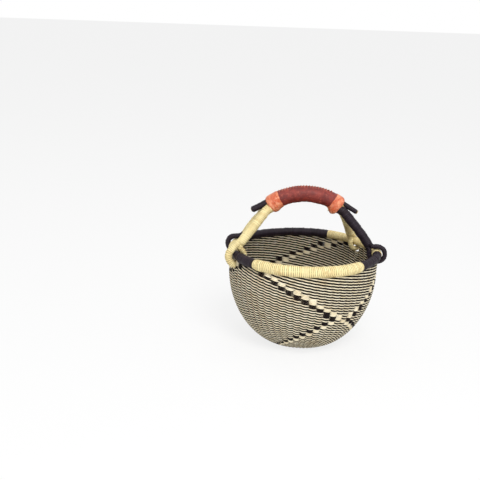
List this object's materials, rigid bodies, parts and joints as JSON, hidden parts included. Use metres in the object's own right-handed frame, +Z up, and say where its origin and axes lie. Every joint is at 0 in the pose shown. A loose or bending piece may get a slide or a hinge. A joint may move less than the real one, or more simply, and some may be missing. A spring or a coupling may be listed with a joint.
{
  "type": "bolga basket",
  "caption": "Round open basket of twined straw with a wrapped straw rim and an upright handle: a leather grip on straw legs looped round the rim.",
  "frame": {"origin": "centre of the flat underside that the basket stands on", "axes": "+Z up, +X along the handle to the right as pictured, -Y to the front of the picture"},
  "size_m": [0.2996, 0.2796, 0.2956],
  "materials": {
    "striped_straw": "twined dry straw, natural and black strands in fine stripes",
    "core_straw": "plain dry straw",
    "natural_straw": "closely wound natural straw",
    "black_straw": "closely wound black-dyed straw",
    "red_leather": "dark red goat leather, slightly shiny",
    "orange_leather": "orange goat leather, slightly shiny",
    "lace_leather": "thin leather thong"
  },
  "bodies": {
    "bowl": {"woven_bowl": "striped_straw", "rim_core": "core_straw", "rim_wrap_front": "natural_straw", "rim_wrap_right": "black_straw", "rim_wrap_back_right": "natural_straw", "rim_wrap_back": "black_straw", "rim_wrap_back_left": "natural_straw", "rim_wrap_left": "black_straw"},
    "handle": {"handle_rope": "core_straw", "leg_wrap_front_left": "natural_straw", "leg_wrap_back_left": "natural_straw", "leg_wrap_front_right": "black_straw", "leg_wrap_back_right": "natural_straw", "loop_wrap_front_left": "natural_straw", "loop_wrap_back_left": "black_straw", "loop_wrap_front_right": "black_straw", "loop_wrap_back_right": "natural_straw", "tail_wrap_left": "black_straw", "tail_wrap_right": "black_straw", "grip_binding": "core_straw", "grip_leather": "red_leather", "cuff_left": "orange_leather", "cuff_right": "orange_leather", "grip_lace": "lace_leather"}
  },
  "joints": [
    {"name": "handle_rock", "type": "hinge", "parent": "bowl", "child": "handle", "pos_m": [0, 0, 0.172], "axis": [1, 0, 0], "range_deg": [-1.2, 1.2]}
  ]
}
